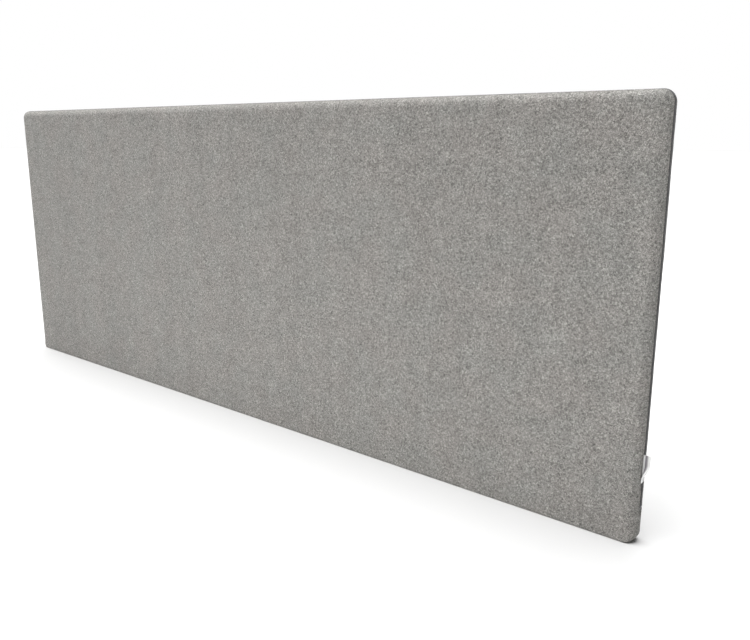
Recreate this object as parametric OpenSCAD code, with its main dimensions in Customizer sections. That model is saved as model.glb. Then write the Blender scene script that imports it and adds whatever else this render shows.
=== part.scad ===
// Acoustic divider screen: a framed absorber core, padded and covered in zipped felt.
// X runs along the width, the front faces -Y, Z is up. The origin lies under the middle
// of the screen, on the surface that it stands on and in its middle plane.

/* [Screen] */
// Width of the finished screen
screen_w = 1600; // [1000:10:2000]
// Height of the finished screen
screen_h = 600; // [400:10:900]
// Thickness of the finished screen
screen_t = 30; // [28:1:32]
// Radius of the corners, seen from the front
corner_r = 17; // [16.5:0.5:30]

/* [Cover] */
// Thickness of the felt
cloth_t = 1.5; // [1:0.1:1.8]
// Width of the slot between the hems, in which the zip shows
slot_w = 8.5; // [8:0.1:9.5]
// Height at which the slot starts to open
hem_shut_z = 30; // [28:1:34]
// Height from which the slot is fully open
hem_open_z = 46; // [40:1:50]

/* [Zip] */
// Height of the coil's two lower ends
zip_end_z = 55; // [53:1:60]
// Height of the slider's middle, parked at the closed end
slider_z = 63; // [62:1:70]
// Width of one tape
tape_w = 10.5; // [8:0.5:11]
// Thickness of the tapes
tape_t = 0.7; // [0.5:0.1:0.9]
// Length of tape below the coil
tape_tail = 10; // [6:1:14]
// Width of one coil row
coil_w = 2; // [1.8:0.1:2.1]
// Height of the coil on its tape
coil_h = 1.4; // [1.2:0.1:1.6]
// Length of an end stop
stop_l = 2.5; // [2:0.5:3]

/* [Slider and pull] */
// Length of the slider
slider_l = 12; // [10:0.5:13]
// Thickness of the slider's plates
plate_t = 1.1; // [0.9:0.1:1.3]
// Width of the slider's inner plate
inner_plate_w = 6.4; // [5.6:0.2:6.8]
// Thickness of the neck between the plates
neck_w = 0.7; // [0.6:0.1:0.9]
// Length of the neck
neck_l = 4; // [3:0.5:6]
// Length of the bail that holds the pull
bail_l = 6.4; // [5:0.2:7]
// Width of the bail
bail_w = 2.2; // [2:0.1:2.6]
// Height of the bail over the outer plate
bail_h = 2.9; // [2.7:0.1:3.4]
// Radius of the pull's pin
pin_r = 0.75; // [0.6:0.05:0.85]
// Length of the pull from its pin to its tip
pull_l = 28; // [20:1:30]
// Width of the pull at its free end
pull_w = 6.4; // [6:0.2:8]
// Width of the yoke that straddles the bail
yoke_w = 4.8; // [4.6:0.1:5.4]
// Thickness of the pull
pull_t = 1.2; // [1:0.1:1.4]
// Radius of the hole in the pull
pull_hole_r = 1.5; // [1:0.1:2]

/* [Label] */
// Height of the label's lower edge
label_z = 88; // [80:1:120]
// Height of the label along the seam
label_h = 41; // [30:1:60]
// Reach of the folded label beyond the edge
label_reach = 10.5; // [8:0.5:14]
// Thickness of the ribbon
ribbon_t = 0.3; // [0.2:0.05:0.35]

/* [Frame] */
// Thickness of the softwood frame
frame_t = 18; // [16:0.5:20]
// Width of the frame's rails and stiles
member_w = 40; // [34:1:60]
// Thickness of the hardboard septum
septum_t = 3; // [2.5:0.5:4]
// Depth of the grooves for the septum
groove_d = 6; // [4:0.5:7]
// Radius of the dowels
dowel_r = 4; // [3:0.5:4.5]
// Length of the dowels
dowel_l = 40; // [30:2:44]
// Distance between the two dowels of a joint
dowel_pitch = 16; // [14:1:17]

/* [Bracket inserts] */
// Distance from the screen's end to the middle of a bracket
bracket_inset = 200; // [120:10:300]
// Distance between the two screws of a bracket
bracket_pitch = 64; // [32:2:100]
// Radius of the insert's thread
thread_r = 2.5; // [2:0.1:3.4]
// Radius of the insert's body
insert_r = 4.5; // [4.2:0.1:5]
// Length of the insert
insert_l = 13; // [10:1:18]
// Radius of the insert's flange
flange_r = 6; // [5.5:0.1:7]
// Thickness of the flange
flange_t = 1; // [0.8:0.1:1.5]
// Radius of the holes in the underside of the felt
eyelet_r = 4.5; // [4:0.1:5]

/* [Hidden] */
// Clearances: flat pieces laid together, soft pieces, running pieces, the pull's pin, wood
lay_gap = 0.1;
soft_gap = 0.3;
run_gap = 0.35;
neck_gap = 0.25;
pin_gap = 0.05;
wood_gap = 0.05;
groove_gap = 0.1;
hole_end_gap = 1;
cut = 1;
bail_round = 0.8;
plate_round = 1.6;
corner_steps = 8;
arc_steps = 7;
rim_steps = 4;
tape_steps = 6;
foam_toe_share = 5 / 6;
$fn = 48;

// The wadding and the felt round the lower edge, and the sides and top are full rounds
wadding_t = (screen_t - frame_t) / 2 - cloth_t;
base_round = cloth_t + wadding_t;
side_round = screen_t / 2;
base_flat = screen_t / 2 - base_round;
corner_x = screen_w / 2 - corner_r;
corner_top = screen_h - corner_r;

// Depths below the outline
tape_out = cloth_t + lay_gap;
tape_in = tape_out + tape_t;
coil_top = tape_out - coil_h;
foam_out = tape_in + soft_gap;

// Places across the zip, measured from the middle plane
coil_in = neck_w / 2 + neck_gap;
coil_edge = coil_in + coil_w;
slider_edge = slot_w / 2 - run_gap;
flange_in = coil_edge + run_gap;

// The slider's faces, measured outwards from the outline
plate_in = run_gap - coil_top;
plate_out = plate_in + plate_t;
inner_plate_out = -(edge_depth(tape_in, inner_plate_w / 2) + run_gap);
inner_plate_in = inner_plate_out - plate_t;
channel_d = run_gap - inner_plate_in;
pin_x = plate_out + bail_h / 2;
cheek_in = bail_w / 2 + neck_gap;
cheek_r = bail_h / 2 - neck_gap;
plate_start = norm([bail_l / 2, bail_h / 2]) + run_gap;

frame_x = screen_w / 2 - side_round;
frame_low = cloth_t + lay_gap;
frame_top = screen_h - side_round;
bay_x = frame_x - member_w;
bay_low = frame_low + member_w;
bay_top = frame_top - member_w;
bracket_x = screen_w / 2 - bracket_inset;
bat_t = (frame_t - septum_t) / 2 - 2 * lay_gap;

// How far a surface at this depth lies below the outline, this far from the middle plane
function edge_depth(depth, y) = side_round - sqrt(pow(side_round - depth, 2) - y * y);

// A smooth change from one value to another
function ease(from, to, share) = from + (to - from) * (1 - cos(180 * share)) / 2;

// A station on the outline: its place, its outward direction, the round of the edge there
// and half the width of the slot between the hems
function corner(x, z, start, rounds, rim) = [
    for (i = [0 : corner_steps])
        let (angle = start + 90 * i / corner_steps, out = [cos(angle), sin(angle)])
        [[x, z] + corner_r * out, out, ease(rounds[0], rounds[1], i / corner_steps), rim]];
function side(right, z, rim) = [[right * screen_w / 2, z], [right, 0], side_round, rim];

top_right = corner(corner_x, corner_top, 0, [side_round, side_round], slot_w / 2);
top_left = corner(-corner_x, corner_top, 90, [side_round, side_round], slot_w / 2);
outline = concat(
    corner(corner_x, corner_r, -90, [base_round, side_round], 0),
    [side(1, hem_shut_z, 0), side(1, hem_open_z, slot_w / 2)],
    top_right, top_left,
    [side(-1, hem_open_z, slot_w / 2), side(-1, hem_shut_z, 0)],
    corner(-corner_x, corner_r, 180, [side_round, base_round], 0));

// A point of the screen, from a station, a distance outwards and a place across the edge
function place(station, out, y) =
    [station[0][0] + station[1][0] * out, y, station[0][1] + station[1][1] * out];

// The front half of the edge at a station, from the face (step 0) to the rim of the hem
function hem_point(station, depth, step) =
    let (round = station[2], rim = station[3], flat = screen_t / 2 - round,
        r = round - depth,
        turn = rim < flat ? 90 : acos((rim - flat) / r),
        arc = r * turn * PI / 180,
        straight = max(0, flat - rim),
        arc_share = arc_steps / (arc_steps + rim_steps),
        turned = arc * (arc_share + (1 - arc_share) * flat / base_flat),
        way = step <= arc_steps
            ? turned * step / arc_steps
            : turned + (arc + straight - turned) * (step - arc_steps) / rim_steps,
        angle = min(turn, way / r * 180 / PI))
    place(station, r * sin(angle) - round, max(0, way - arc) - flat - r * cos(angle));

// A closed skin over rings with equal numbers of points
module skin(rings) {
    n = len(rings[0]);
    last = len(rings) - 1;
    polyhedron(
        points = [for (ring = rings) each ring],
        faces = concat(
            [[for (i = [n - 1 : -1 : 0]) i]],
            [for (k = [0 : last - 1], i = [0 : n - 1], side = [0, 1])
                let (j = (i + 1) % n, a = k * n, b = a + n)
                side == 0 ? [a + i, a + j, b + j] : [a + i, b + j, b + i]],
            [[for (i = [0 : n - 1]) last * n + i]]));
}

// One half of the felt cover, a tray with hems at the slot, holed under the brackets
module cover_half() {
    steps = arc_steps + rim_steps;
    difference() {
        skin(concat(
            [for (k = [0 : steps]) [for (s = outline) hem_point(s, 0, k)]],
            [for (k = [steps : -1 : 0]) [for (s = outline) hem_point(s, cloth_t, k)]]));
        at_inserts() translate([0, 0, -cut]) cylinder(r = eyelet_r, h = cloth_t + 2 * cut);
    }
}

// Both ends' bracket screws, on the underside
module at_inserts() {
    for (end = [-1, 1], screw = [-1, 1])
        translate([end * bracket_x + screw * bracket_pitch / 2, 0, 0]) children();
}

// The path of the zip, from low on the right side over the top to low on the left side
function zip_path(low) = concat(
    [side(1, low, 0)], top_right, top_left, [side(-1, low, 0)]);

// A point on a round at this depth, this far towards the front
function round_point(station, depth, y) = place(station, -edge_depth(depth, y), -y);

module zip_tape() {
    skin([for (s = zip_path(zip_end_z - tape_tail)) concat(
        [for (i = [0 : tape_steps])
            round_point(s, tape_out, coil_in + tape_w * i / tape_steps)],
        [for (i = [tape_steps : -1 : 0])
            round_point(s, tape_in, coil_in + tape_w * i / tape_steps)])]);
}

module zip_coil() {
    skin([for (s = zip_path(zip_end_z)) [
        place(s, -coil_top, -coil_in), place(s, -coil_top, -coil_edge),
        place(s, -tape_out, -coil_edge), place(s, -tape_out, -coil_in)]]);
}

// The padded edging's section: a full round with a channel for the slider behind the zip
function foam_section(station, back) =
    let (r = side_round - foam_out,
        start = asin((side_round - back) / r),
        turn = acos(slot_w / 2 / r),
        arc = [for (i = [0 : arc_steps])
            let (angle = start + (turn - start) * i / arc_steps)
            [r * sin(angle) - side_round, r * cos(angle)]])
    concat(
        [for (p = arc) place(station, p[0], p[1])],
        [place(station, -channel_d, slot_w / 2), place(station, -channel_d, -slot_w / 2)],
        [for (i = [arc_steps : -1 : 0]) place(station, arc[i][0], -arc[i][1])]);

// A side run rounds the lower corner as far as the end of the bottom rail
module edge_foam_side() {
    back = side_round - soft_gap;
    toe = [for (i = [0 : corner_steps])
        let (angle = 90 * foam_toe_share * (i / corner_steps - 1),
            out = [cos(angle), sin(angle)])
        [[[corner_x, corner_r] + corner_r * out, out],
            corner_r - (corner_r - back) / cos(angle)]];
    skin(concat(
        [for (t = toe) foam_section(t[0], t[1])],
        [foam_section(side(1, corner_top - soft_gap, 0), back)]));
}

module cover_front() { color("#9a9893") cover_half(); }
module cover_back() { color("#94928e") mirror([0, 1, 0]) cover_half(); }
module zip_tape_front() { color("#3a3a3b") zip_tape(); }
module zip_tape_back() { color("#3a3a3b") mirror([0, 1, 0]) zip_tape(); }
module zip_coil_front() { color("#2a2a2b") zip_coil(); }
module zip_coil_back() { color("#2a2a2b") mirror([0, 1, 0]) zip_coil(); }

// The folded ribbon, held between the front hem and the zip on the right side
module care_label() {
    root = lay_gap - edge_depth(tape_out, coil_edge);
    fold_r = (slot_w / 2 - coil_edge) / 2 - 2 * lay_gap;
    tip = label_reach - fold_r;
    color("#f2f1ec")
        translate([screen_w / 2, -slot_w / 2 + lay_gap + fold_r, label_z])
        linear_extrude(label_h)
        difference() {
            union() {
                translate([root, -fold_r]) square([tip - root, 2 * fold_r]);
                translate([tip, 0]) circle(fold_r);
            }
            translate([root - cut, ribbon_t - fold_r])
                square([tip - root + cut, 2 * (fold_r - ribbon_t)]);
            translate([tip, 0]) circle(fold_r - ribbon_t);
        }
}

// A stop clamped over the coil from one place across the zip to another
module stop_block(from, to) {
    translate([-tape_out + lay_gap / 2, from, zip_end_z - stop_l - lay_gap])
        cube([tape_out - coil_top + lay_gap, to - from, stop_l]);
}

module zip_top_stops() {
    color("#55565a") translate([-screen_w / 2, 0, 0]) mirror([1, 0, 0])
        for (half = [0, 1]) mirror([0, half, 0]) stop_block(coil_in, coil_edge);
}

module zip_bottom_stop() {
    color("#55565a") translate([screen_w / 2, 0, 0]) stop_block(-coil_edge, coil_edge);
}

// Two plates joined by the neck, with flanges round the coil and a bail on the outside
module slider_body() {
    translate([plate_in, 0, 0]) rotate([0, 90, 0]) linear_extrude(plate_t)
        rounded([slider_l, 2 * slider_edge], plate_round);
    for (half = [0, 1]) mirror([0, half, 0])
        translate([-coil_top - coil_h / 2, flange_in, -slider_l / 2 + plate_round])
            cube([plate_in + coil_top + coil_h / 2, slider_edge - flange_in,
                slider_l - 2 * plate_round]);
    translate([inner_plate_in, 0, 0]) rotate([0, 90, 0]) linear_extrude(plate_t)
        rounded([slider_l, inner_plate_w], plate_round);
    translate([inner_plate_out, -neck_w / 2, -slider_l / 2 + plate_round])
        cube([plate_in - inner_plate_out, neck_w, neck_l]);
    difference() {
        translate([plate_out, 0, 0]) rotate([90, 0, 0])
            linear_extrude(bail_w, center = true) bail_outline();
        translate([pin_x, 0, 0]) rotate([90, 0, 0])
            cylinder(r = pin_r + pin_gap, h = bail_w + 2 * cut, center = true);
    }
}

// A rectangle with round corners, about the origin
module rounded(size, r) {
    square([size[0] - 2 * r, size[1]], center = true);
    square([size[0], size[1] - 2 * r], center = true);
    for (x = [-1, 1], y = [-1, 1])
        translate([x * (size[0] / 2 - r), y * (size[1] / 2 - r)]) circle(r);
}

module bail_outline() {
    translate([0, -bail_l / 2]) square([bail_h - bail_round, bail_l]);
    translate([0, bail_round - bail_l / 2]) square([bail_h, bail_l - 2 * bail_round]);
    for (end = [-1, 1])
        translate([bail_h - bail_round, end * (bail_l / 2 - bail_round)]) circle(bail_round);
}

module zip_slider() {
    color("#6d6f73") translate([-screen_w / 2, 0, slider_z]) mirror([1, 0, 0]) slider_body();
}

// A yoke with its pin through the bail, and a plate that hangs from it
module pull_body() {
    cheek_w = yoke_w / 2 - cheek_in;
    translate([pin_x, 0, 0]) {
        rotate([90, 0, 0]) cylinder(r = pin_r, h = yoke_w, center = true);
        for (half = [-1, 1]) translate([0, half * (cheek_in + cheek_w / 2), 0]) {
            rotate([90, 0, 0]) cylinder(r = cheek_r, h = cheek_w, center = true);
            translate([-pull_t / 2, -cheek_w / 2, -plate_start - pull_t])
                cube([pull_t, cheek_w, plate_start + pull_t]);
        }
        translate([-pull_t / 2, 0, 0]) rotate([0, 90, 0]) linear_extrude(pull_t)
            difference() {
                union() {
                    translate([plate_start, -yoke_w / 2]) square([pull_l / 2 - plate_start, yoke_w]);
                    polygon([[plate_start, -yoke_w / 2], [pull_l - pull_w / 2, -pull_w / 2],
                        [pull_l - pull_w / 2, pull_w / 2], [plate_start, yoke_w / 2]]);
                    translate([pull_l - pull_w / 2, 0]) circle(pull_w / 2);
                }
                translate([pull_l - pull_w / 2, 0]) circle(pull_hole_r);
            }
    }
}

module zip_pull() {
    color("#6d6f73") translate([-screen_w / 2, 0, slider_z]) mirror([1, 0, 0]) pull_body();
}

// What the outline's round takes off two corners of the frame that lie on the X axis
module corner_cuts() {
    r = corner_r - side_round;
    for (end = [0, 1]) mirror([end, 0]) translate([frame_x - r, 0]) difference() {
        translate([0, -cut]) square([r + cut, r + cut]);
        translate([0, r]) circle(r);
    }
}

// Wadding on one face of the frame, rounded under its lower edge
module wadding() {
    thick = wadding_t - soft_gap;
    difference() {
        translate([0, -frame_t / 2, 0]) rotate([90, 0, 90])
            linear_extrude(2 * frame_x, center = true) {
                translate([-thick, base_round]) square([thick, frame_top - base_round]);
                intersection() {
                    translate([0, base_round]) circle(thick);
                    translate([-thick, base_round - thick]) square([thick, thick]);
                }
            }
        translate([0, 0, frame_top]) rotate([-90, 0, 0])
            linear_extrude(screen_t, center = true) corner_cuts();
    }
}

module wadding_front() { color("#eceae4") wadding(); }
module wadding_back() { color("#eceae4") mirror([0, 1, 0]) wadding(); }

module edge_foam_left() { color("#4b4d52") mirror([1, 0, 0]) edge_foam_side(); }
module edge_foam_right() { color("#4b4d52") edge_foam_side(); }
module edge_foam_top() {
    color("#4b4d52")
        skin([for (s = concat(top_right, top_left)) foam_section(s, side_round - soft_gap)]);
}

// A rail's outline in the plane of the screen, with its two outer corners rounded
module rail_outline() {
    difference() {
        translate([-frame_x, 0]) square([2 * frame_x, member_w]);
        corner_cuts();
    }
}

// A rail lying on its outer edge, with its groove and dowel holes on top
module rail() {
    difference() {
        rotate([90, 0, 0]) linear_extrude(frame_t, center = true) rail_outline();
        for (end = [0, 1]) mirror([end, 0, 0])
            translate([member_w / 2 - groove_d, 0, member_w - groove_d])
                septum_groove([bay_x - member_w / 2 + 2 * groove_d, groove_d + cut]);
        translate([0, 0, member_w]) dowel_holes();
    }
}

module septum_groove(size) {
    w = septum_t + 2 * groove_gap;
    translate([0, -w / 2, 0]) cube([size[0], w, size[1]]);
}

// Places of the dowels in a row along a rail
module at_dowels() {
    for (x = [-frame_x + member_w / 2, 0, frame_x - member_w / 2], pair = [-1, 1])
        translate([x + pair * dowel_pitch / 2, 0, 0]) children();
}

module dowel_holes() {
    at_dowels() cylinder(r = dowel_r + wood_gap, h = dowel_l + 2 * hole_end_gap, center = true);
}

module frame_top_rail() {
    color("#c9a877") translate([0, 0, frame_top]) mirror([0, 0, 1]) rail();
}

module frame_bottom_rail() {
    color("#c9a877") difference() {
        translate([0, 0, frame_low]) rail();
        at_inserts() translate([0, 0, frame_low - cut]) {
            cylinder(r = insert_r + wood_gap, h = insert_l + hole_end_gap + cut);
            cylinder(r = flange_r + wood_gap, h = flange_t + cut);
        }
    }
}

// An upright between the rails, grooved on the sides that are asked for
module stile(x, grooves) {
    h = bay_top - bay_low;
    difference() {
        translate([x - member_w / 2, -frame_t / 2, bay_low]) cube([member_w, frame_t, h]);
        for (g = grooves) translate([x, 0, 0]) mirror([(1 - g) / 2, 0, 0])
            translate([member_w / 2 - groove_d, 0, bay_low - cut])
                septum_groove([groove_d + cut, h + 2 * cut]);
        for (z = [bay_low, bay_top]) translate([0, 0, z]) dowel_holes();
    }
}

module frame_left_stile() { color("#c4a06e") stile(-frame_x + member_w / 2, [1]); }
module frame_right_stile() { color("#c4a06e") stile(frame_x - member_w / 2, [-1]); }
module frame_centre_stile() { color("#c4a06e") stile(0, [-1, 1]); }

module frame_dowels() {
    color("#b08d58") for (z = [bay_low, bay_top]) translate([0, 0, z])
        at_dowels() cylinder(r = dowel_r, h = dowel_l, center = true);
}

// A hardboard sheet in the grooves of the right-hand bay
module septum() {
    into = groove_d - soft_gap;
    translate([member_w / 2 - into, -septum_t / 2, bay_low - into])
        cube([bay_x - member_w / 2 + 2 * into, septum_t, bay_top - bay_low + 2 * into]);
}

module septum_left() { color("#7a5a3c") mirror([1, 0, 0]) septum(); }
module septum_right() { color("#7a5a3c") septum(); }

// An absorber bat in the front of the right-hand bay
module bat() {
    translate([member_w / 2 + soft_gap, -frame_t / 2 + lay_gap, bay_low + soft_gap])
        cube([bay_x - member_w / 2 - 2 * soft_gap, bat_t, bay_top - bay_low - 2 * soft_gap]);
}

module bat_front_right() { color("#b9b49a") bat(); }
module bat_front_left() { color("#b9b49a") mirror([1, 0, 0]) bat(); }
module bat_back_right() { color("#b9b49a") mirror([0, 1, 0]) bat(); }
module bat_back_left() { color("#b9b49a") mirror([0, 1, 0]) mirror([1, 0, 0]) bat(); }

// Threaded inserts in the underside of the bottom rail, for the desk brackets
module bracket_inserts() {
    color("#c8c9cc") at_inserts() translate([0, 0, frame_low]) difference() {
        union() {
            cylinder(r = insert_r, h = insert_l);
            cylinder(r = flange_r, h = flange_t);
        }
        translate([0, 0, -cut]) cylinder(r = thread_r, h = insert_l + 2 * cut);
    }
}

cover_front();
cover_back();
care_label();
zip_tape_front();
zip_tape_back();
zip_coil_front();
zip_coil_back();
zip_top_stops();
zip_bottom_stop();
zip_slider();
zip_pull();
wadding_front();
wadding_back();
edge_foam_left();
edge_foam_top();
edge_foam_right();
frame_top_rail();
frame_bottom_rail();
frame_left_stile();
frame_right_stile();
frame_centre_stile();
frame_dowels();
septum_left();
septum_right();
bat_front_left();
bat_front_right();
bat_back_left();
bat_back_right();
bracket_inserts();
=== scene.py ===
import math

import bmesh
import bpy
from mathutils import Euler, Matrix, Vector, noise


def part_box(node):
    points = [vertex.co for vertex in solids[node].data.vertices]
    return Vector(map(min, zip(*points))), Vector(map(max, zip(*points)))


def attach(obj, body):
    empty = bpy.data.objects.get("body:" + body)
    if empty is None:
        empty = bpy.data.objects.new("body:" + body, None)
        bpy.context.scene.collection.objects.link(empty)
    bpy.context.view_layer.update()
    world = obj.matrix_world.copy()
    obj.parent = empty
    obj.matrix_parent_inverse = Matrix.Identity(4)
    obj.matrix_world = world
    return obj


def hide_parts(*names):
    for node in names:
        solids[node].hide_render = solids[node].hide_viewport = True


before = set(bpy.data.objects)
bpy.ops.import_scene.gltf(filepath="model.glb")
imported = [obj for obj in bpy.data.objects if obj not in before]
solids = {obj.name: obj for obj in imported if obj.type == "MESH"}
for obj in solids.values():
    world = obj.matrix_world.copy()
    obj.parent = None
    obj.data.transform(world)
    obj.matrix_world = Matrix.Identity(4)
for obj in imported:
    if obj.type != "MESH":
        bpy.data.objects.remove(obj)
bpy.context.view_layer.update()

# The frame: two rails and three stiles of planed pine, 18 mm thick, dowelled and glued.
# Each member is cut along the grain, so the grain runs across at the joints.


def new_finish(name, **sockets):
    """A material, its shader, and a function that adds a node with its sockets filled or joined."""
    finish = bpy.data.materials.new(name)
    finish.use_nodes = True
    tree = finish.node_tree
    shader = tree.nodes["Principled BSDF"]
    for socket, value in sockets.items():
        shader.inputs[socket.replace("_", " ")].default_value = value

    def add(kind, sockets, **settings):
        node = tree.nodes.new("ShaderNode" + kind) if isinstance(kind, str) else kind
        for setting, value in settings.items():
            setattr(node, setting, value)
        for socket, value in sockets.items():
            if isinstance(value, bpy.types.NodeSocket):
                tree.links.new(value, node.inputs[socket])
            else:
                node.inputs[socket].default_value = value
        return node

    return finish, shader, add


def shades(add, factor, *stops):
    """Colours spread over a factor, each stop a place and a colour."""
    ramp = add("ValToRGB", {"Fac": factor})
    spots = ramp.color_ramp.elements
    while len(spots) < len(stops):
        spots.new(0.5)
    for spot, (place, colour) in zip(spots, stops):
        spot.position, spot.color = place, (*colour, 1)
    return ramp.outputs["Color"]


def grains(add, where, scale, **sockets):
    """Noise over a surface, as a factor."""
    return add("TexNoise", {"Vector": where, "Scale": scale, **sockets}).outputs["Fac"]


def times(add, colour, layer, share):
    """A colour multiplied by a layer of shades, by a share."""
    mixed = add("MixRGB", {"Fac": share, "Color1": colour, "Color2": layer}, blend_type="MULTIPLY")
    return mixed.outputs["Color"]


def relief(add, height, strength, distance, **sockets):
    """Small bumps on a surface, from a factor taken as their height."""
    bumps = add("Bump", {"Height": height, "Strength": strength, "Distance": distance, **sockets})
    return bumps.outputs["Normal"]


def pine(name, along, shift):
    """Planed pine with its grain along one axis, from its own place in the plank."""
    finish, shader, add = new_finish(name, Roughness=0.62)
    where = add("TexCoord", {}).outputs["Object"]
    stretch = [4 if axis == along else 70 for axis in "XYZ"]
    lain = add("Mapping", {"Vector": where, "Location": shift, "Scale": stretch}).outputs["Vector"]
    rings = grains(add, lain, 1, Detail=3, Distortion=0.7)
    pores = grains(add, lain, 14, Detail=2)
    early_late = shades(add, rings, (0.32, (0.66, 0.45, 0.24)), (0.5, (0.6, 0.38, 0.19)),
        (0.58, (0.42, 0.23, 0.1)), (0.66, (0.62, 0.41, 0.21)))
    flecked = shades(add, pores, (0.35, (0.5, 0.31, 0.15)), (0.6, (0.72, 0.52, 0.3)))
    add(shader, {"Base Color": times(add, early_late, flecked, 0.25),
        "Normal": relief(add, pores, 0.25, 0.0003)})
    return finish


def dress(node, finish):
    """Gives a CAD node a finish in its own material slots."""
    for place in solids[node].material_slots:
        place.material = finish


dress("frame_top_rail", pine("pine_top_rail", "X", (0.3, 0, 0)))
dress("frame_bottom_rail", pine("pine_bottom_rail", "X", (2.1, 5, 3)))
dress("frame_left_stile", pine("pine_left_stile", "Z", (7, 0, 0.4)))
dress("frame_right_stile", pine("pine_right_stile", "Z", (0, 4, 1.7)))
dress("frame_centre_stile", pine("pine_centre_stile", "Z", (3, 9, 2.6)))

# The dowels: round beech pegs, 8 mm thick, two of them glued into each joint of the frame.
# Beech is denser and pinker than the pine, with short dark flecks along the peg.
beech, shader, add = new_finish("beech", Roughness=0.55)
where = add("TexCoord", {}).outputs["Object"]
along_peg = add("Mapping", {"Vector": where, "Scale": (420, 420, 60)}).outputs["Vector"]
flecks = grains(add, along_peg, 1, Detail=4)
beech_colour = shades(add, flecks, (0.3, (0.38, 0.2, 0.11)), (0.46, (0.6, 0.38, 0.24)),
    (0.7, (0.66, 0.45, 0.3)))
add(shader, {"Base Color": beech_colour, "Normal": relief(add, flecks, 0.3, 0.0002)})
dress("frame_dowels", beech)

# The septa: two sheets of 3 mm hardboard in the frame's grooves.
# Pressed wood fibre, dark brown, with a hard skin and lighter shives in it.
hardboard, shader, add = new_finish("hardboard", Roughness=0.45)
where = add("TexCoord", {}).outputs["Object"]
fibres = grains(add, where, 260, Detail=6, Distortion=1.4)
clouds = grains(add, where, 14, Detail=2)
fibre_colour = shades(add, fibres, (0.34, (0.1, 0.05, 0.024)), (0.52, (0.21, 0.115, 0.058)),
    (0.68, (0.36, 0.22, 0.12)))
cloud_colour = shades(add, clouds, (0.35, (0.6, 0.55, 0.5)), (0.65, (1, 1, 1)))
add(shader, {"Base Color": times(add, fibre_colour, cloud_colour, 0.35),
    "Normal": relief(add, fibres, 0.2, 0.0003)})
dress("septum_left", hardboard)
dress("septum_right", hardboard)

# The absorber bats: four pads of pressed fibre that fill the bays on both sides of the septa.
# They are cut from a roll with a knife, so their edges are soft and a little uneven.


def upright_grid(cells_x, cells_z, wide, tall):
    """A flat upright sheet of cells that faces the front."""
    sheet = bmesh.new()
    bmesh.ops.create_grid(sheet, x_segments=cells_x, y_segments=cells_z, size=0.5)
    bmesh.ops.scale(sheet, vec=(wide, tall, 1), verts=sheet.verts)
    stood_up = Matrix.Rotation(math.pi / 2, 3, "X")
    bmesh.ops.rotate(sheet, cent=(0, 0, 0), matrix=stood_up, verts=sheet.verts)
    return sheet


def cut_pad(name, node, cell, soft_edge, unevenness):
    """A pad of the CAD node's size: a gridded sheet thickened, with soft edges and uneven faces."""
    low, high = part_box(node)
    size, middle = high - low, (low + high) / 2
    pad = upright_grid(round(size.x / cell), round(size.z / cell), size.x, size.z)
    grown = bmesh.ops.extrude_face_region(pad, geom=pad.faces[:] + pad.edges[:] + pad.verts[:])
    back = [v for v in grown["geom"] if isinstance(v, bmesh.types.BMVert)]
    bmesh.ops.translate(pad, vec=(0, size.y, 0), verts=back)
    bmesh.ops.translate(pad, vec=middle - Vector((0, size.y / 2, 0)), verts=pad.verts)
    bmesh.ops.recalc_face_normals(pad, faces=pad.faces)
    sharp = [e for e in pad.edges if e.calc_face_angle(0) > 1]
    bmesh.ops.bevel(pad, geom=sharp, offset=soft_edge, offset_type="OFFSET", affect="EDGES",
        segments=4, profile=0.5, material=-1)
    rim_wide = 0.004
    for v in pad.verts:
        dip = noise.noise(v.co * 23) * 0.5 + noise.noise(v.co * 70) * 0.5
        side = 1 if v.co.y > middle.y else -1
        v.co.y -= side * unevenness * (0.5 + dip)
        near_x = min(high.x - v.co.x, v.co.x - low.x)
        near_z = min(high.z - v.co.z, v.co.z - low.z)
        pull = unevenness * (0.6 + noise.noise(v.co * 90))
        if near_x < rim_wide and near_x <= near_z:
            v.co.x += math.copysign(pull, middle.x - v.co.x)
        if near_z < rim_wide and near_z <= near_x:
            v.co.z += math.copysign(pull, middle.z - v.co.z)
    return show(pad, name)


def show(shape, name, finish=None):
    """A finished piece with smooth faces, from its bmesh."""
    mesh = bpy.data.meshes.new(name)
    shape.to_mesh(mesh)
    shape.free()
    mesh.shade_smooth()
    piece = bpy.data.objects.new(name, mesh)
    bpy.context.scene.collection.objects.link(piece)
    if finish:
        mesh.materials.append(finish)
    return piece


absorber, shader, add = new_finish("pressed_fibre", Roughness=0.98, Sheen_Weight=0.15)
where = add("TexCoord", {}).outputs["Object"]
layered = add("Mapping", {"Vector": where, "Scale": (1, 6, 1.6)}).outputs["Vector"]
strands = grains(add, layered, 300, Detail=7, Roughness=0.65, Distortion=2.2)
tufts = grains(add, where, 45, Detail=3)
strand_colour = shades(add, strands, (0.3, (0.3, 0.28, 0.18)), (0.5, (0.5, 0.48, 0.34)),
    (0.68, (0.66, 0.64, 0.5)))
tuft_colour = shades(add, tufts, (0.3, (0.7, 0.68, 0.62)), (0.7, (1, 1, 1)))
add(shader, {"Base Color": times(add, strand_colour, tuft_colour, 0.4),
    "Normal": relief(add, strands, 0.6, 0.0012)})
for bat in ("bat_front_left", "bat_front_right", "bat_back_left", "bat_back_right"):
    pad = cut_pad("absorber_" + bat, bat, cell=0.02, soft_edge=0.0018, unevenness=0.0002)
    pad.data.materials.append(absorber)
    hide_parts(bat)
    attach(pad, "panel")

# The edge foam: three lengths of grey foam that round the frame's sides and top, glued on.
# A channel along the middle gives the zip's slider room.
low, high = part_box("cover_front")
half_w, tall, half_t = high.x, high.z, -low.y
corner_r = 0.017
flat_run, bend_run, side_run = half_w - corner_r, math.pi / 2 * corner_r, tall - 2 * corner_r
half_way = 2 * flat_run + 2 * bend_run + side_run
all_round = 2 * half_way


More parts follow.
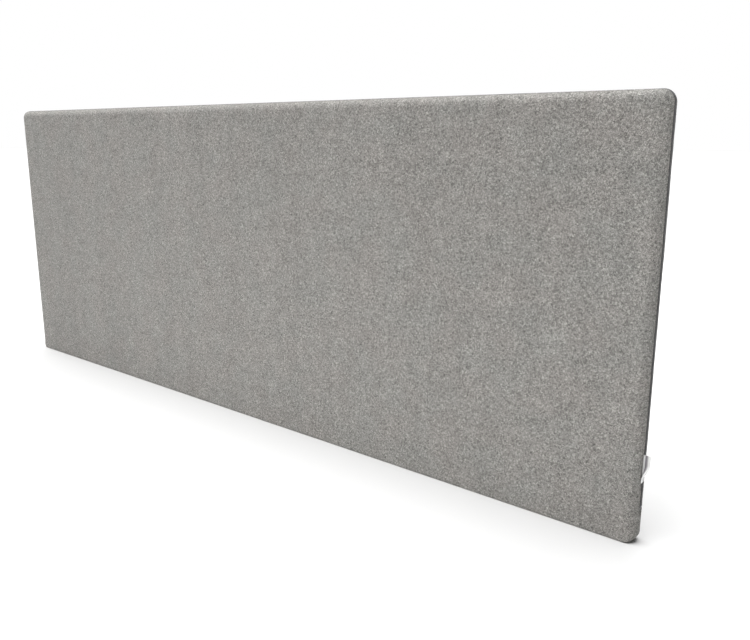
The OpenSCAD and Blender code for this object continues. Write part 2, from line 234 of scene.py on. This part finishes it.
def on_outline(run):
    """Place and outward direction on the outline, a run from the middle of the underside and
    up the right-hand side first."""
    left = run > half_way
    run = all_round - run if left else run
    if run < flat_run:
        centre, turn = Vector((run, 0, corner_r)), -90
    elif run < flat_run + bend_run:
        centre, turn = Vector((flat_run, 0, corner_r)), -90 + 90 * (run - flat_run) / bend_run
    elif run < flat_run + bend_run + side_run:
        centre, turn = Vector((flat_run, 0, corner_r + run - flat_run - bend_run)), 0
    elif run < flat_run + 2 * bend_run + side_run:
        centre = Vector((flat_run, 0, tall - corner_r))
        turn = 90 * (run - flat_run - bend_run - side_run) / bend_run
    else:
        centre, turn = Vector((half_way - run, 0, tall - corner_r)), 90
    out = Vector((math.cos(math.radians(turn)), 0, math.sin(math.radians(turn))))
    place = centre + corner_r * out
    if left:
        place.x, out.x = -place.x, -out.x
    return place, out


def run_at(height):
    """The run to a height on the straight of the right-hand side."""
    return flat_run + bend_run + height - corner_r


def steps(start, stop, pitch):
    """Runs from start to stop, closer round the corners."""
    runs, run = [], start
    while run < stop - pitch / 4:
        runs.append(run)
        out = on_outline(run)[1]
        run += pitch / 4 if 0.001 < abs(out.x) < 0.999 else pitch
    return runs + [stop]


def grow(shape, edges):
    """Extrudes a row of edges in place, and gives the new row's points and edges."""
    made = bmesh.ops.extrude_edge_only(shape, edges=edges)["geom"]
    fresh = {v for v in made if isinstance(v, bmesh.types.BMVert)}
    edges = [e for e in made if isinstance(e, bmesh.types.BMEdge)
        and e.verts[0] in fresh and e.verts[1] in fresh]
    return fresh, edges


def sweep(runs, section, name, closed=True):
    """Carries a section along the outline, ring by ring. The section takes a run and gives
    points as a height over the outline and a place across the edge."""
    shape = bmesh.new()
    weave = shape.loops.layers.uv.new("weave")
    spots = {}

    def put(ring, run):
        place, out = on_outline(run)
        for k, (v, (height, across)) in enumerate(zip(ring, section(run))):
            v.co = place + out * height + Vector((0, across, 0))
            spots[v] = (run, k)

    profile = [Vector(point) for point in section(runs[0])]
    count = len(profile)
    ring = [shape.verts.new((k, 0, 0)) for k in range(count)]
    links = range(count if closed else count - 1)
    edges = [shape.edges.new((ring[k], ring[(k + 1) % count])) for k in links]
    put(ring, runs[0])
    first = list(edges)
    for run in runs[1:]:
        fresh, edges = grow(shape, edges)
        ring = [next(e.other_vert(v) for e in v.link_edges if e.other_vert(v) in fresh) for v in ring]
        put(ring, run)
    if closed:
        for end in (first, edges):
            bmesh.ops.contextual_create(shape, geom=end)
    bmesh.ops.recalc_face_normals(shape, faces=shape.faces)
    lay = [0]
    for a, b in zip(profile, profile[1:]):
        lay.append(lay[-1] + (b - a).length)
    for face in shape.faces:
        for loop in face.loops:
            run, k = spots[loop.vert]
            loop[weave].uv = (run, lay[k])
    return show(shape, name)


foam, shader, add = new_finish("grey_foam", Roughness=0.95)
where = add("TexCoord", {}).outputs["Object"]
cells = add("TexVoronoi", {"Vector": where, "Scale": 900}, feature="F1").outputs["Distance"]
tone = grains(add, where, 120, Detail=4)
cell_colour = shades(add, cells, (0.1, (0.035, 0.037, 0.042)), (0.45, (0.09, 0.095, 0.105)),
    (0.8, (0.15, 0.155, 0.17)))
tone_colour = shades(add, tone, (0.3, (0.7, 0.7, 0.7)), (0.7, (1, 1, 1)))
add(shader, {"Base Color": times(add, cell_colour, tone_colour, 0.5),
    "Normal": relief(add, cells, 0.7, 0.0006)})

foam_r, foam_back, foot_back, puffed = 0.0124, 0.0147, 0.008, 0.00012
channel_d, channel_half, channel_draft = 0.0045, 0.00425, 0.0004


def foam_section(run):
    """A full round with the channel in its crown, and a flat back against the frame."""
    place = on_outline(run)[0]
    low_down = max(0, 1 - place.z / corner_r)
    back = foam_back - foot_back * low_down ** 2
    start = math.asin((half_t - back) / foam_r)
    turn = math.acos(channel_half / foam_r)
    angles = [start + (turn - start) * k / 9 for k in range(10)]
    arc = [(foam_r * math.sin(a) - half_t, -foam_r * math.cos(a)) for a in angles]
    floor_half = channel_half - channel_draft
    hollow = [(-channel_d, -floor_half), (-channel_d, floor_half)]
    puff = puffed * noise.noise(place * 60)
    return [(h + puff, a) for h, a in arc] + hollow + [(h + puff, -a) for h, a in reversed(arc)]


top_right, top_left = run_at(tall - corner_r), all_round - run_at(tall - corner_r)
foot_right, foot_left = flat_run + bend_run * 0.2, all_round - flat_run - bend_run * 0.2
foam_joint = 0.0003
for name, node, start, stop in (
        ("foam_right", "edge_foam_right", foot_right, top_right - foam_joint),
        ("foam_top", "edge_foam_top", top_right, top_left),
        ("foam_left", "edge_foam_left", top_left + foam_joint, foot_left)):
    length = sweep(steps(start, stop, 0.02), foam_section, name)
    length.data.materials.append(foam)
    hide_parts(node)
    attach(length, "panel")

# The wadding: one layer of white polyester fleece on each face, rounded at the lower edge.
# It softens the frame's lines under the felt.
wadding, shader, add = new_finish("white_wadding", Roughness=1.0, Sheen_Weight=0.3)
where = add("TexCoord", {}).outputs["Object"]
lint = grains(add, where, 380, Detail=6, Roughness=0.7, Distortion=2.6)
clumps = grains(add, where, 38, Detail=3)
lint_colour = shades(add, lint, (0.3, (0.62, 0.62, 0.59)), (0.6, (0.86, 0.86, 0.83)))
clump_colour = shades(add, clumps, (0.35, (0.8, 0.8, 0.78)), (0.65, (1, 1, 1)))
add(shader, {"Base Color": times(add, lint_colour, clump_colour, 0.3),
    "Normal": relief(add, lint, 0.5, 0.001)})
for node in ("wadding_front", "wadding_back"):
    fleece = node.replace("wadding", "fleece")
    layer = cut_pad(fleece, node, cell=0.016, soft_edge=0.0012, unevenness=0.00015)
    low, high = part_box(node)
    outer = low.y if "front" in node else high.y
    inner, lap = low.y + high.y - outer, abs(high.y - low.y)
    for v in layer.data.vertices:
        rise = v.co.z - low.z
        if rise < lap:
            reach = math.sqrt(lap ** 2 - (lap - rise) ** 2)
            v.co.y = inner + (v.co.y - inner) * reach / lap
    layer.data.materials.append(wadding)
    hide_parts(node)
    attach(layer, "panel")

# The bracket inserts: four zinc-plated steel inserts screwed into the bottom rail.
# Bright plating with a faint blue cast and fine turning marks.


def metal(name, colour, roughness, grain):
    """Plated metal with fine marks, a little cloudy in colour and in shine."""
    finish, shader, add = new_finish(name, Metallic=1.0)
    where = add("TexCoord", {}).outputs["Object"]
    marks = grains(add, where, grain, Detail=5, Roughness=0.6)
    clouds = grains(add, where, grain / 6, Detail=3)
    dark, light = [c * 0.8 for c in colour], [min(1, c * 1.15) for c in colour]
    rough = add("MapRange", {"Value": marks, "From Min": 0.3, "From Max": 0.7,
        "To Min": roughness - 0.08, "To Max": roughness + 0.12})
    add(shader, {"Base Color": shades(add, clouds, (0.3, dark), (0.7, light)),
        "Roughness": rough.outputs["Result"], "Normal": relief(add, marks, 0.15, 0.0001)})
    return finish


dress("bracket_inserts", metal("zinc_plate", (0.6, 0.61, 0.64), 0.32, 1800))

# The zip tapes: two woven polyester tapes, 10.5 mm wide, sewn under the felt's hems.
# They run up both sides and over the top, and end a little below the coil.
tape_low, tape_step, tape_inner = 0.045, 0.007, 0.0006
tape_depth, tape_wide, tape_thick, tape_ripple = 0.0016, 0.0105, 0.0007, 0.00008


def under_round(depth, across):
    """Height over the outline of a surface that lies this deep under the full round."""
    return math.sqrt((half_t - depth) ** 2 - across ** 2) - half_t


tape_finish, shader, add = new_finish("grey_tape", Roughness=0.82, Sheen_Weight=0.1)
lain = add("UVMap", {}, uv_map="weave").outputs["UV"]
slanted = add("Mapping", {"Vector": lain, "Rotation": (0, 0, 0.9)}).outputs["Vector"]
ribs = add("TexWave", {"Vector": slanted, "Scale": 650, "Distortion": 0.6, "Detail": 1,
    "Detail Scale": 2}, wave_type="BANDS").outputs["Color"]
picks = add("TexWave", {"Vector": lain, "Scale": 900, "Distortion": 0.4}, wave_type="BANDS")
threads = add("MixRGB", {"Fac": 0.5, "Color1": ribs, "Color2": picks.outputs["Color"]})
threads = threads.outputs["Color"]
tape_colour = shades(add, threads, (0.2, (0.15, 0.15, 0.152)), (0.55, (0.3, 0.3, 0.301)),
    (0.85, (0.45, 0.446, 0.44)))
add(shader, {"Base Color": tape_colour, "Normal": relief(add, threads, 0.7, 0.0002)})
zip_runs = steps(run_at(tape_low), all_round - run_at(tape_low), tape_step)
for side, node in ((-1, "zip_tape_front"), (1, "zip_tape_back")):
    def tape_section(run, side=side):
        place = on_outline(run)[0]
        wave = tape_ripple * noise.noise(place * 55 + Vector((0, side, 0)))
        across = [tape_inner + tape_wide * k / 10 for k in range(11)]
        return [(under_round(tape_depth + tape_thick / 2, a) + wave, side * a) for a in across]

    tape = sweep(zip_runs, tape_section, node.replace("zip_tape", "woven_tape"), closed=False)
    tape.data.materials.append(tape_finish)
    thick = tape.modifiers.new("thickness", "SOLIDIFY")
    thick.thickness, thick.offset = tape_thick, 0
    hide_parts(node)
    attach(tape, "panel")

# The zip coils: a nylon wire wound into flat turns and sewn along each tape's edge.
# The two coils hook into each other, apart from where the slider's neck travels.


def wire(name, lines, radius, finish, sides=0):
    """A round wire or thread along each line of points, as one mesh."""
    path = bpy.data.curves.new(name, "CURVE")
    path.dimensions, path.bevel_depth, path.bevel_resolution = "3D", radius, sides
    path.use_fill_caps, path.twist_mode = True, "MINIMUM"
    for line in lines:
        spline = path.splines.new("POLY")
        spline.points.add(len(line) - 1)
        for point, place in zip(spline.points, line):
            point.co = (*place, 1)
    strung = bpy.data.objects.new(name, path)
    bpy.context.scene.collection.objects.link(strung)
    bpy.context.view_layer.update()
    drawn = strung.evaluated_get(bpy.context.evaluated_depsgraph_get())
    skin = bpy.data.meshes.new_from_object(drawn)
    bpy.data.objects.remove(strung)
    shape = bmesh.new()
    shape.from_mesh(skin)
    bpy.data.meshes.remove(skin)
    bmesh.ops.remove_doubles(shape, verts=shape.verts, dist=radius / 100)
    return show(shape, name, finish)


coil_finish, shader, add = new_finish("grey_nylon", Roughness=0.38, Specular_IOR_Level=0.45)
where = add("TexCoord", {}).outputs["Object"]
wear = grains(add, where, 700, Detail=3)
coil_colour = shades(add, wear, (0.35, (0.18, 0.18, 0.182)), (0.7, (0.3, 0.3, 0.3)))
add(shader, {"Base Color": coil_colour, "Normal": relief(add, wear, 0.1, 0.0001)})

turn_pitch, coil_low, wire_r = 0.0015, 0.055, 0.00031
coil_outer, coil_inner, coil_sunk, coil_high = 0.0023, -0.00045, -0.00125, 0.00108
parted_by, parted_below, parting_len = 0.00117, 0.578, 0.006
# one turn: share of the pitch, place between the outer and the inner end, height in the coil
turn = ((0.0, 0.0, 0.3), (0.12, 0.05, 0.75), (0.22, 0.35, 1), (0.36, 0.75, 0.95),
    (0.5, 1.0, 0.5), (0.64, 0.72, 0.06), (0.82, 0.3, 0.02))
coil_start, coil_stop = run_at(coil_low), all_round - run_at(coil_low)
for side, node in ((-1, "zip_coil_front"), (1, "zip_coil_back")):
    line, count = [], round((coil_stop - coil_start) / turn_pitch)
    for k in range(count):
        for share, reach, height in turn:
            run = coil_start + (k + share + (0.5 if side > 0 else 0)) * turn_pitch
            run = min(run, coil_stop)
            place, out = on_outline(run)
            # hooked from the stops over the top, and just parted down the slider's side
            down_left = (run - all_round + run_at(parted_below)) / parting_len
            inner = coil_inner + parted_by * max(0, min(1, down_left))
            across = coil_outer + (inner - coil_outer) * reach
            lift = coil_sunk + coil_high * height
            line.append(place + out * lift + Vector((0, side * across, 0)))
    row = wire(node.replace("zip_coil", "wound_coil"), [line], wire_r, coil_finish)
    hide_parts(node)
    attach(row, "panel")

# The end stops: small blocks of dark plated brass, clamped over the coils' ends.
gunmetal = metal("gunmetal", (0.22, 0.22, 0.235), 0.36, 1400)
dress("zip_top_stops", gunmetal)
dress("zip_bottom_stop", gunmetal)

# The slider and its pull: die-cast zinc with a dark plated finish, worn lighter in places.
# The slider is parked at the foot of the left-hand side, and the pull hangs from its bail.
dress("zip_slider", gunmetal)
dress("zip_pull", gunmetal)

# The covers: two trays of grey melange wool felt, stretched over the front and the back.
# Their hems are turned under and sewn to the zip, and a plain seam joins them underneath.
cloth_t, slot_half, base_round = 0.0015, 0.00425, 0.0023
hem_shut, hem_open, seam_gap = 0.034, 0.050, 0.00004
pattern_x, insert_x, eyelet_r = 0.6, 0.032, 0.0045
insert_holes = [end * pattern_x + screw * insert_x for end in (-1, 1) for screw in (-1, 1)]
label_low, label_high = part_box("care_label")
gape_all, gape_low, gape_height, gape_spread, gape_past = 0.0019, 0.0014, 0.011, 0.009, 0.005
gape_lift, stitch_in, valley_d, valley_half = 0.2, 0.0028, 0.00022, 0.0009
ripple_long, ripple_short, ripple_h, ripple_reach = 0.017, 0.007, 0.00022, 0.005
swell_long, swell_short, swell_h, fine_h = 0.16, 0.045, 0.0003, 0.0001


def edge_round(run):
    """Radius of the edge's round: full on the sides and top, squarer under the lower edge."""
    run = min(run, all_round - run)
    share = max(0, min(1, (run - flat_run) / bend_run))
    return base_round + (half_t - base_round) * (1 - math.cos(math.pi * share)) / 2


def eased(share):
    """A share held between 0 and 1, slow to start and slow to end."""
    share = max(0, min(1, share))
    return share * share * (3 - 2 * share)


def hem_gap(place):
    """Half the gap between the two felts: the zip's slot, the holes under the inserts, or none."""
    if place.z < 0.001:
        near = min(abs(place.x - x) for x in insert_holes)
        return math.sqrt(max(0, eyelet_r ** 2 - near ** 2)) + seam_gap
    return slot_half * eased((place.z - hem_shut) / (hem_open - hem_shut)) + seam_gap


def label_gape(place, seed):
    """How far the front hem is drawn back beside the care label, most of all low down."""
    if seed > 0 or place.x < 0:
        return 0
    middle = (label_low.z + label_high.z) / 2
    reach = (label_high.z - label_low.z) / 2 + gape_past
    beside = max(0, 1 - ((place.z - middle) / reach) ** 6)
    low_down = math.exp(-((place.z - label_low.z - gape_height) / gape_spread) ** 2)
    return beside * (gape_all + gape_low * low_down)


def wadding_swell(spot):
    """The slow unevenness that the wadding leaves in the felt."""
    long_wave = noise.noise(Vector((spot.x, 0, spot.z)) / swell_long)
    short_wave = noise.noise(Vector((spot.x, 7, spot.z)) / swell_short)
    return swell_h * long_wave + fine_h * short_wave


def felt_point(run, share, seed):
    """A point of the front felt's edge, from the face (share 0) to the hem (share 1)."""
    place, out = on_outline(run)
    gape = label_gape(place, seed)
    round_r, rim = edge_round(run), hem_gap(place) + gape
    flat = half_t - round_r
    turn = math.pi / 2 if rim < flat else math.acos((rim - flat) / round_r)
    arc, straight = round_r * turn, max(0, flat - rim)
    way = share * (arc + straight)
    angle = min(turn, way / round_r)
    to_hem = arc + straight - way
    lift = wadding_swell(place)
    # an open hem ripples, stands off beside the label, and is drawn in along the stitches
    if rim > 0.001 and place.z > 0.02:
        ripple = noise.noise(Vector((run / ripple_long, seed, 3)))
        ripple += 0.5 * noise.noise(Vector((run / ripple_short, seed, 8)))
        lift += (ripple_h * ripple + gape_lift * gape) * math.exp(-to_hem / ripple_reach)
        lift -= valley_d * math.exp(-((to_hem - stitch_in) / valley_half) ** 2)
    spot = place + out * ((round_r + lift) * math.sin(angle) - round_r)
    spot.y = max(0, way - arc) - flat - (round_r + lift) * math.cos(angle)
    spot.z = max(spot.z, 0)
    return spot


# the outline's marks for the tray's rows: right side, top, left side and underside in turn
cols, rows_up, bend_cells = 210, 72, 6
half_bend = bend_run / 2


def marks_along(start, before, straight, after, cells, inside=()):
    """Runs for one side of the grid: half bends before, the straight, and half bends after."""
    free = cells - (before + after) * bend_cells - len(inside)
    step, from_run = half_bend / bend_cells, start + before * half_bend
    firsts = [start + step * k for k in range(before * bend_cells)]
    even = [from_run + straight * k / free for k in range(free + 1)]
    lasts = [from_run + straight + step * (k + 1) for k in range(after * bend_cells)]
    return (firsts + sorted(even + list(inside)) + lasts)[:-1]


eyelet_turns = [math.radians(a) for a in (0, 12, 30, 60, 90, 120, 150, 168, 180)]
eyelet_marks = [x + eyelet_r * math.cos(a) for x in insert_holes for a in eyelet_turns]
side_foot = flat_run + bend_run
top_corner = side_foot + side_run + half_bend
marks = marks_along(side_foot, 0, side_run, 1, rows_up)
marks += marks_along(top_corner, 1, 2 * flat_run, 1, cols)
marks += marks_along(all_round - top_corner, 1, side_run, 0, rows_up)
under = marks_along(-side_foot, 2, 2 * flat_run, 2, cols, eyelet_marks)
marks += [m % all_round for m in under]

felt, shader, add = new_finish("melange_felt", Roughness=0.96, Specular_IOR_Level=0.15,
    Sheen_Weight=0.12, Sheen_Roughness=0.5)
where = add("TexCoord", {}).outputs["Object"]
upright = add("Mapping", {"Vector": where, "Scale": (34, 34, 2.4)}).outputs["Vector"]
strands = grains(add, where, 700, Detail=3, Roughness=0.65, Distortion=1.8)
flecks = grains(add, where, 385, Detail=3, Roughness=0.6, Distortion=1.2)
patches = grains(add, where, 46, Detail=3, Roughness=0.55)
warmth = grains(add, where, 17, Detail=2)
streaks = grains(add, upright, 1, Detail=3)
mixed = shades(add, strands, (0.3, (0.112, 0.109, 0.104)), (0.47, (0.252, 0.244, 0.232)),
    (0.56, (0.314, 0.305, 0.291)), (0.7, (0.56, 0.546, 0.525)))
for layer, *stops in (
        (flecks, (0.32, (0.42, 0.42, 0.42)), (0.5, (0.955, 0.955, 0.955)), (0.66, (1.52, 1.52, 1.51))),
        (patches, (0.3, (0.925, 0.925, 0.925)), (0.7, (1.06, 1.06, 1.06))),
        (warmth, (0.35, (0.987, 1.0, 0.99)), (0.65, (1.012, 0.998, 0.985))),
        (streaks, (0.35, (0.965, 0.965, 0.965)), (0.65, (1.03, 1.03, 1.03)))):
    mixed = times(add, mixed, shades(add, layer, *stops), 1)
nap = grains(add, where, 1300, Detail=4, Roughness=0.7, Distortion=1)
napped = relief(add, nap, 0.35, 0.0004)
add(shader, {"Base Color": mixed, "Normal": relief(add, strands, 0.3, 0.0008, Normal=napped)})

face_inset, slack_rings, edge_rings, hem_soft = 2 * corner_r, 3, 20, 0.00062


def felt_tray(name, side):
    """The flat face as a grid, its rim extruded ring by ring over the edge to the hem."""
    face_half, face_tall = half_w - face_inset, tall - 2 * face_inset
    tray = upright_grid(cols, rows_up, 2 * face_half, face_tall)
    centre = Vector((0, -half_t, tall / 2))
    bmesh.ops.translate(tray, vec=centre, verts=tray.verts)
    for v in tray.verts:
        v.co.y -= wadding_swell(v.co)
    at = {}
    for v in tray.verts:
        if v.is_boundary:
            col = round((v.co.x / face_half + 1) / 2 * cols)
            row = round((v.co.z - face_inset) / face_tall * rows_up)
            if col == cols and row < rows_up:
                mark = row
            elif row == rows_up and col > 0:
                mark = rows_up + cols - col
            elif col == 0 and row > 0:
                mark = 2 * rows_up + cols - row
            else:
                mark = 2 * rows_up + cols + col
            at[v] = marks[mark % len(marks)]
    start = {v: v.co.copy() for v in at}
    edges = [e for e in tray.edges if e.is_boundary]
    for k in range(1, slack_rings + edge_rings + 1):
        fresh, edges = grow(tray, edges)
        moved_at, moved_start = {}, {}
        for v in fresh:
            old = next(e.other_vert(v) for e in v.link_edges if e.other_vert(v) not in fresh)
            run = moved_at[v] = at[old]
            begin = moved_start[v] = start[old]
            if k <= slack_rings:
                v.co = begin.lerp(felt_point(run, 0, side), k / slack_rings)
            else:
                v.co = felt_point(run, (k - slack_rings) / edge_rings, side)
        at, start = moved_at, moved_start
    bmesh.ops.recalc_face_normals(tray, faces=tray.faces)
    middle = min(tray.faces, key=lambda f: (f.calc_center_median() - centre).length)
    if middle.normal.y > 0:
        bmesh.ops.reverse_faces(tray, faces=tray.faces)
    if side > 0:
        bmesh.ops.scale(tray, vec=(1, -1, 1), verts=tray.verts)
        bmesh.ops.reverse_faces(tray, faces=tray.faces)
    piece = show(tray, name, felt)
    thick = piece.modifiers.new("felt thickness", "SOLIDIFY")
    thick.thickness, thick.offset = cloth_t, -1
    turned = piece.modifiers.new("turned hem", "BEVEL")
    turned.width, turned.segments, turned.limit_method = hem_soft, 3, "ANGLE"
    turned.angle_limit = math.radians(55)
    return piece


for side, node in ((-1, "cover_front"), (1, "cover_back")):
    tray = felt_tray(node.replace("cover", "felt"), side)
    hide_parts(node)
    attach(tray, "panel")

# The hem stitching: a row of grey lockstitches in each hem, just beside the zip.
# The thread lies in a shallow valley that it draws into the felt.
thread, shader, add = new_finish("grey_thread", Roughness=0.6, Sheen_Weight=0.2)
where = add("TexCoord", {}).outputs["Object"]
twist = grains(add, where, 2600, Detail=2)
thread_colour = shades(add, twist, (0.35, (0.16, 0.157, 0.15)), (0.65, (0.33, 0.325, 0.31)))
add(shader, {"Base Color": thread_colour, "Normal": relief(add, twist, 0.4, 0.0001)})
stitch_pitch, stitch_len, thread_r, stitch_low = 0.0034, 0.0027, 0.00019, 0.049
# one stitch: share of its length, and how deep the thread lies in the felt
stitch = ((0, 0.0006), (0.12, -0.00005), (0.5, -0.00012), (0.88, -0.00005), (1, 0.0006))
share_across = 1 - stitch_in / (half_t * math.acos(slot_half / half_t))
for side, name in ((-1, "stitching_front"), (1, "stitching_back")):
    stitches, run = [], run_at(stitch_low)
    while run < all_round - run_at(stitch_low):
        line = []
        for part, sunk in stitch:
            here = run + stitch_len * part
            spot = felt_point(here, share_across, side)
            place, out = on_outline(here)
            centre = place - out * half_t
            spot += (centre - spot).normalized() * sunk
            line.append((spot.x, -side * spot.y, spot.z))
        stitches.append(line)
        run += stitch_pitch
    row = wire(name, stitches, thread_r, thread)
    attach(row, "panel")

# The care label: a white satin ribbon, folded in two and sewn beside the coil under the front
# hem, which gapes there. It leans a little forward, and its lower end has curled over the hem.
ribbon, shader, add = new_finish("satin_ribbon", Roughness=0.42, Sheen_Weight=0.2,
    Specular_IOR_Level=0.4)
ribbon_len, ribbon_t, half_fold = 0.0212, 0.0003, 0.00048
lain = add("UVMap", {}, uv_map="weave").outputs["UV"]
picks = add("TexWave", {"Vector": lain, "Scale": 500, "Distortion": 0.3},
    wave_type="BANDS", bands_direction="Y").outputs["Color"]
ends = add("TexWave", {"Vector": lain, "Scale": 620, "Distortion": 0.3},
    wave_type="BANDS", bands_direction="X").outputs["Color"]
satin = add("MixRGB", {"Fac": 0.5, "Color1": picks, "Color2": ends}).outputs["Color"]
lengthways = add("Mapping", {"Vector": lain, "Scale": (1 / ribbon_len, 1, 1)}).outputs["Vector"]
band = add("TexGradient", {"Vector": lengthways}).outputs["Fac"]
# a soft grey band is woven in along the front half
stripe = shades(add, band, (0.125, (1, 1, 1)), (0.15, (0.25, 0.236, 0.262)),
    (0.28, (0.28, 0.266, 0.29)), (0.4, (1, 1, 1)))
woven = shades(add, satin, (0.2, (0.72, 0.72, 0.71)), (0.8, (0.9, 0.9, 0.89)))
add(shader, {"Base Color": times(add, woven, stripe, 1), "Normal": relief(add, satin, 0.4, 0.0001)})

label_h, fold_run = label_high.z - label_low.z, math.pi * half_fold
flag = (ribbon_len - fold_run) / 2
root_x, root_y = label_low.x + 0.00015, label_high.y - 0.0003
root_rise, fold_rise, bend_from, bend_over, bend_steps = 0.007, 0.0036, 0.1, 0.28, 12
root_angle, lean_angle, curl_angle, curl_from, curl_over, open_by = 30, 15, 77, 0.3, 0.6, 0.7
label = bmesh.new()
weave = label.loops.layers.uv.new("weave")
bmesh.ops.create_grid(label, x_segments=48, y_segments=48, size=0.5)
laid = {}
for v in label.verts:
    along, down = (v.co.x + 0.5) * ribbon_len, 0.5 - v.co.y
    laid[v] = (along, down * label_h)
    if along < flag:
        reach, off = along, -half_fold
    elif along < flag + fold_run:
        turn = (along - flag) / half_fold
        reach, off = flag + half_fold * math.sin(turn), -half_fold * math.cos(turn)
    else:
        reach, off = ribbon_len - along, half_fold
    # the two layers stand a little open between the root and the fold
    off *= 1 + open_by * math.sin(math.pi * min(1, reach / flag))
    # the lower end is drawn up and bent further over
    drawn = eased((down - curl_from) / curl_over)
    curl = math.radians(lean_angle + curl_angle * drawn)
    spot = Vector((0, 0))
    for k in range(bend_steps):
        bent = min(1, max(0, (k + 0.5) / bend_steps * reach / flag - bend_from) / bend_over)
        heading = math.radians(root_angle) * (1 - bent) - curl * bent
        spot += Vector((math.cos(heading), math.sin(heading))) * reach / bend_steps
    spot += Vector((-math.sin(heading), math.cos(heading))) * off
    rise = drawn * (root_rise + (fold_rise - root_rise) * reach / flag)
    v.co = Vector((root_x + spot.x, root_y + spot.y, label_high.z - down * label_h + rise))
for face in label.faces:
    for loop in face.loops:
        loop[weave].uv = laid[loop.vert]
care = show(label, "ribbon_label", ribbon)
thick = care.modifiers.new("thickness", "SOLIDIFY")
thick.thickness, thick.offset = ribbon_t, 0
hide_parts("care_label")
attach(care, "panel")

# The studio: a plain pale floor under one large, soft overhead light, a little from the left and
# the front. A long low strip light in front lifts the face, and a softbox behind lights the back.
floor_finish = new_finish("pale_floor", Base_Color=(0.63, 0.63, 0.63, 1), Roughness=0.9,
    Specular_IOR_Level=0.1)[0]
ground = bmesh.new()
bmesh.ops.create_grid(ground, x_segments=1, y_segments=1, size=30)
floor = show(ground, "floor", floor_finish)


def hang(name, kind, energy, place, towards, **settings):
    """A lamp at a place, turned to shine along a direction, and itself unseen."""
    lamp = bpy.data.lights.new(name, kind)
    lamp.energy = energy
    for setting, value in settings.items():
        setattr(lamp, setting, value)
    hung = bpy.data.objects.new(name, lamp)
    hung.location, hung.visible_camera = place, False
    hung.rotation_euler = Vector(towards).to_track_quat("-Z", "Y").to_euler()
    bpy.context.scene.collection.objects.link(hung)


hang("overhead", "SUN", 6.1, (0, 0, 4), (0.24, 0.08, -1), angle=math.radians(70))
hang("strip_light", "AREA", 0.97, (0.16, -0.6, 0.07), (0, 1, 0.02), shape="RECTANGLE",
    size=1.5, size_y=0.12)
hang("softbox", "AREA", 12, (0.2, 2.4, 0.8), (-0.2, -2.4, -0.5), shape="DISK", size=1.4)
# the world lights the screen faintly, and is seen as plain white
world = bpy.data.worlds.new("studio")
bpy.context.scene.world = world
world.use_nodes = True
sky = world.node_tree.nodes["Background"]
sky.inputs["Color"].default_value = (1, 1, 1, 1)
sky.inputs["Strength"].default_value = 0.1
seen = world.node_tree.nodes.new("ShaderNodeBackground")
seen.inputs["Color"].default_value = (1, 1, 1, 1)
pick = world.node_tree.nodes.new("ShaderNodeMixShader")
path = world.node_tree.nodes.new("ShaderNodeLightPath")
join = world.node_tree.links.new
join(path.outputs["Is Camera Ray"], pick.inputs["Fac"])
join(sky.outputs["Background"], pick.inputs[1])
join(seen.outputs["Background"], pick.inputs[2])
join(pick.outputs["Shader"], world.node_tree.nodes["World Output"].inputs["Surface"])
bpy.context.scene.view_settings.view_transform = "Standard"

# The camera: right of the screen's near end and a little above its middle, looking left and down.
# The focal length is in pixels of the photograph, which is 750 wide, and the film is 36 mm wide.
focal_px, photo_px, film = 781.8, 750, 36
turn_left, tip_down, roll = 39.967, 13.218, 0.168
eye = bpy.data.cameras.new("photo_camera")
eye.sensor_width, eye.lens, eye.clip_start = film, focal_px / photo_px * film, 0.01
camera = bpy.data.objects.new("photo_camera", eye)
camera.location = (1.149, -0.980, 0.5416)
turned = Euler((0, 0, math.radians(turn_left))).to_matrix()
tipped = Euler((math.radians(90 - tip_down), 0, 0)).to_matrix()
rolled = Euler((0, 0, math.radians(roll))).to_matrix()
camera.rotation_euler = (turned @ tipped @ rolled).to_euler()
bpy.context.scene.collection.objects.link(camera)
bpy.context.scene.camera = camera
